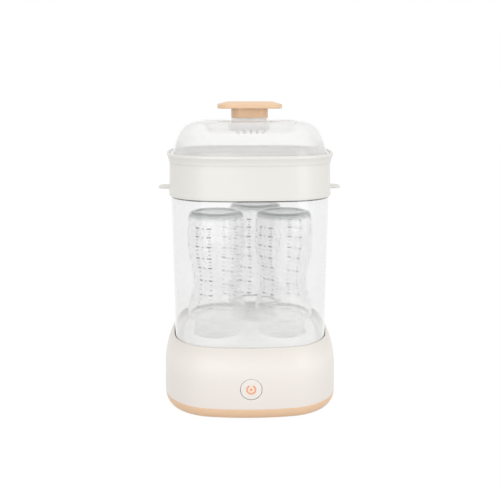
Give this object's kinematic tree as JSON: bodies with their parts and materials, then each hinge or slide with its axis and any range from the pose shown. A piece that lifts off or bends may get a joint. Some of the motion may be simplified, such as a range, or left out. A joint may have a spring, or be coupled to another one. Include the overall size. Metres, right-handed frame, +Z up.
{
  "type": "bottle sterilizer",
  "caption": "Electric steam sterilizer with a heated base, clear chamber holding upturned feeding bottles, slotted basket and domed lid with a knob.",
  "frame": {"origin": "centre of the footprint, on the surface that the feet stand on", "axes": "+Z up; the button faces -Y; +X to the right as seen from the front"},
  "size_m": [0.2066, 0.2, 0.3368],
  "materials": {
    "housing": "off-white satin moulding",
    "tan": "warm tan satin moulding",
    "rubber": "matt rubber",
    "steel": "pressed stainless steel",
    "screw_steel": "zinc plated steel",
    "silicone": "translucent grey silicone",
    "board": "solder-masked board",
    "button": "off-white satin cap",
    "light_guide": "frosted clear moulding",
    "led": "amber lamp body",
    "black_plastic": "black moulding",
    "clear": "clear polished moulding",
    "rack": "frosted clear moulding",
    "bottle": "clear bottle plastic",
    "basket": "off-white satin moulding"
  },
  "bodies": {
    "base": {"base_housing": "housing", "bottom_shell": "tan", "feet": "rubber", "heater_plate": "steel", "heating_element": "steel", "clamp_ring": "steel", "thermostat": "steel", "shell_screws": "screw_steel", "clamp_screws": "screw_steel", "board_screws": "screw_steel", "heater_seal": "silicone", "control_board": "board", "indicator_led": "led", "button_switch": "black_plastic", "terminal_block": "black_plastic", "cord_grommet": "black_plastic"},
    "button": {"power_button": "button", "light_guide": "light_guide", "switch_plunger": "black_plastic"},
    "chamber": {"chamber": "clear"},
    "rack": {"bottle_rack": "rack"},
    "bottle_left": {"bottle_left": "bottle"},
    "bottle_right": {"bottle_right": "bottle"},
    "bottle_rear": {"bottle_rear": "bottle"},
    "basket": {"basket": "basket"},
    "lid": {"lid": "clear", "knob": "tan", "knob_seal": "silicone", "knob_screw": "screw_steel"}
  },
  "joints": [
    {"name": "button_press", "type": "slide", "parent": "base", "child": "button", "axis": [0, 1, 0], "range_m": [0, 0.0012], "stiffness_N_per_m": 300, "springref_m": -0.003},
    {"name": "chamber_lift", "type": "slide", "parent": "base", "child": "chamber", "axis": [0, 0, 1], "range_m": [0, 0.18]},
    {"name": "basket_lift", "type": "slide", "parent": "chamber", "child": "basket", "axis": [0, 0, 1], "range_m": [0, 0.12]},
    {"name": "lid_lift", "type": "slide", "parent": "basket", "child": "lid", "axis": [0, 0, 1], "range_m": [0, 0.12]},
    {"name": "rack_lift", "type": "slide", "parent": "base", "child": "rack", "axis": [0, 0, 1], "range_m": [0, 0.006]},
    {"name": "bottle_left_lift", "type": "slide", "parent": "rack", "child": "bottle_left", "axis": [0, 0, 1], "range_m": [0, 0.012]},
    {"name": "bottle_right_lift", "type": "slide", "parent": "rack", "child": "bottle_right", "axis": [0, 0, 1], "range_m": [0, 0.012]},
    {"name": "bottle_rear_lift", "type": "slide", "parent": "rack", "child": "bottle_rear", "axis": [0, 0, 1], "range_m": [0, 0.012]}
  ]
}
